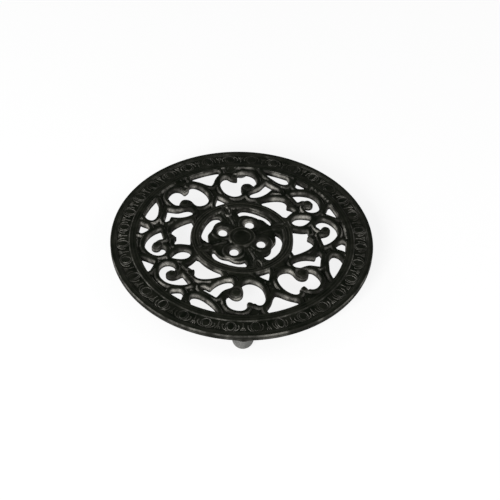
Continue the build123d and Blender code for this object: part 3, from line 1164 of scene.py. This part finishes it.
def roundedCorner(corner, before, after, size, steps=5):
    corner, before, after = map(Vector, (corner, before, after))
    first = corner + (before - corner).normalized() * size
    last = corner + (after - corner).normalized() * size
    shares = [k / steps for k in range(steps + 1)]
    return [tuple(first * (1 - s) ** 2 + corner * 2 * s * (1 - s) + last * s ** 2) for s in shares]


def makeFoot(node):
    low, high = (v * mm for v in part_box(node))
    centre = ((low.x + high.x) / 2, (low.y + high.y) / 2)
    radius = (high.x - low.x) / 2
    footTop = high.z
    flat = radius * feet["flatShare"]
    ballCentre = math.sqrt(radius ** 2 - flat ** 2)
    socket = radius * feet["socketShare"]
    socketEnd = footTop - radius * feet["socketDepthShare"]
    outline = [(socket * feet["middleShare"], socketEnd), (socket, socketEnd)]
    outline += roundedCorner((socket, footTop), (socket, socketEnd), (radius, footTop), feet["lipRound"], 3)
    outline += roundedCorner((radius, footTop), (socket, footTop), (radius, ballCentre), feet["edgeRound"])
    start = math.acos(flat / radius)
    for k in range(feet["ballSteps"] + 1):
        turn = start * k / feet["ballSteps"]
        outline.append((radius * math.cos(turn), ballCentre - radius * math.sin(turn)))
    outline.append((flat * 0.5, 0.0))
    outline = [(r, max(h, 0.0)) for r, h in outline]
    mesh = lathe(node, outline, feet["turns"], centre, rubber)
    tidyMesh(mesh, feet["sharpTurn"])
    name = "".join(part.capitalize() if i else part for i, part in enumerate(node.split("_")))
    placeObject(name, mesh, frame["nodes"][node]["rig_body"], "rubber", node)
    return centre, radius, footTop


def makePegs(places):
    build = bmesh.new()
    for centre, radius, footTop in places:
        peg = radius * pegs["radiusShare"]
        end = footTop - pegs["length"]
        middle = pegs["middleRadius"]
        collar = footTop + pegs["collarGap"]
        outline = [(middle, end), (peg - pegs["chamfer"], end), (peg, end + pegs["chamfer"]), (peg, collar)]
        outline += roundedCorner((radius, collar), (peg, collar), (radius, plateBottom), pegs["collarRound"])
        sink = pegs["collarSink"]
        outline += [(radius, plateBottom + sink), (middle, plateBottom + 3 * sink)]
        build.from_mesh(lathe("peg", outline, pegs["turns"], centre, iron))
    mesh = bpy.data.meshes.new("footPegs")
    build.to_mesh(mesh)
    build.free()
    mesh.materials.append(iron)
    addValues(mesh, "wall", np.full(len(mesh.vertices), pegs["tone"]))
    addValues(mesh, "ridge", np.zeros(len(mesh.vertices)))
    tidyMesh(mesh, pegs["sharpTurn"])
    placeObject("footPegs", mesh, "casting", "iron")


makePegs([makeFoot(node) for node in footNodes])
print("feet made")


# Camera and stage

view = {
    "distance": 0.86,
    "direction": (-0.2985, -0.6490, 0.6998),
    "lens": 81.24,
    "sensor": 36,
    "roll": -2.292,
    "shiftX": 0.0160,
    "shiftY": -0.0278,
}


def makeCamera():
    camera = newObject("camera", bpy.data.cameras.new("camera"))
    back = Vector(view["direction"]).normalized()
    camera.location = Vector((0, 0, plateTop / mm)) + back * view["distance"]
    camera.rotation_mode = "QUATERNION"
    turn = (-back).to_track_quat("-Z", "Y")
    camera.rotation_quaternion = turn @ Quaternion((0, 0, 1), math.radians(-view["roll"]))
    camera.data.lens = view["lens"]
    camera.data.sensor_width = view["sensor"]
    camera.data.shift_x = view["shiftX"]
    camera.data.shift_y = view["shiftY"]
    bpy.context.scene.camera = camera


stage = {
    "floorColour": (0.85, 0.85, 0.85, 1),
    "floorRoughness": 0.9,
    "floorSize": 6.0,
    "floorGap": 0.0002,  # keeps the floor clear of the feet
    "worldColour": (0.33, 0.33, 0.33, 1),
    "whiteShare": 0.85,  # of what is seen of the floor; the rest keeps the shadow
}
white = (1, 1, 1, 1)


def showsPlain(tree):  # 1 for the rays that see the backdrop itself
    path = addNode(tree, "ShaderNodeLightPath").outputs
    either = calculate(tree, "MAXIMUM", path["Is Camera Ray"], path["Is Glossy Ray"])
    return calculate(tree, "MAXIMUM", either, path["Is Transmission Ray"])


def makeWorld():
    world = bpy.data.worlds.new("studio")
    bpy.context.scene.world = world
    world.use_nodes = True
    tree = world.node_tree
    colour = blendColour(tree, showsPlain(tree), stage["worldColour"], white)
    connect(tree, colour, tree.nodes["Background"].inputs["Color"])


def mixShaders(tree, share, first, second):
    return outOf(tree, "ShaderNodeMixShader", {0: share, 1: first, 2: second})


def makeFloor():
    half = stage["floorSize"] / 2
    corners = [(-half, -half, 0), (half, -half, 0), (half, half, 0), (-half, half, 0)]
    material, tree, shader = newMaterial("floorPaper")
    floor = newObject("floor", plainMesh("floor", corners, [(0, 1, 2, 3)], material))
    floor.location.z = -stage["floorGap"]
    shader.inputs["Base Color"].default_value = stage["floorColour"]
    shader.inputs["Roughness"].default_value = stage["floorRoughness"]
    shader.inputs["Specular IOR Level"].default_value = 0.0
    emission = outOf(tree, "ShaderNodeEmission", {"Color": white, "Strength": 1.0})
    share = calculate(tree, "MULTIPLY", showsPlain(tree), stage["whiteShare"])
    paper = mixShaders(tree, share, shader.outputs[0], emission)
    fromBelow = addNode(tree, "ShaderNodeNewGeometry").outputs["Backfacing"]
    clear = outOf(tree, "ShaderNodeBsdfTransparent")
    surface = mixShaders(tree, fromBelow, paper, clear)  # clear from below, to look at the underside
    connect(tree, surface, tree.nodes["Material Output"].inputs["Surface"])


lamps = {
    "front": {"place": (-0.95, -0.85, 0.7), "size": 0.6, "power": 27.0},
    "left": {"place": (-0.9, 0.7, 0.9), "size": 0.7, "power": 5.0},
    "right": {"place": (1.0, -0.3, 0.8), "size": 0.7, "power": 5.0},
}


def makeLamps():
    for name, values in lamps.items():
        light = bpy.data.lights.new(name + "Lamp", "AREA")
        light.shape = "DISK"
        light.size = values["size"]
        light.energy = values["power"]
        lamp = newObject(name + "Lamp", light)
        lamp.location = values["place"]
        lamp.rotation_mode = "QUATERNION"
        lamp.rotation_quaternion = (-Vector(values["place"])).to_track_quat("-Z", "Y")


makeCamera()
makeWorld()
makeFloor()
makeLamps()
bpy.context.scene.view_settings.view_transform = "Standard"
print("camera, stage and lamps made")
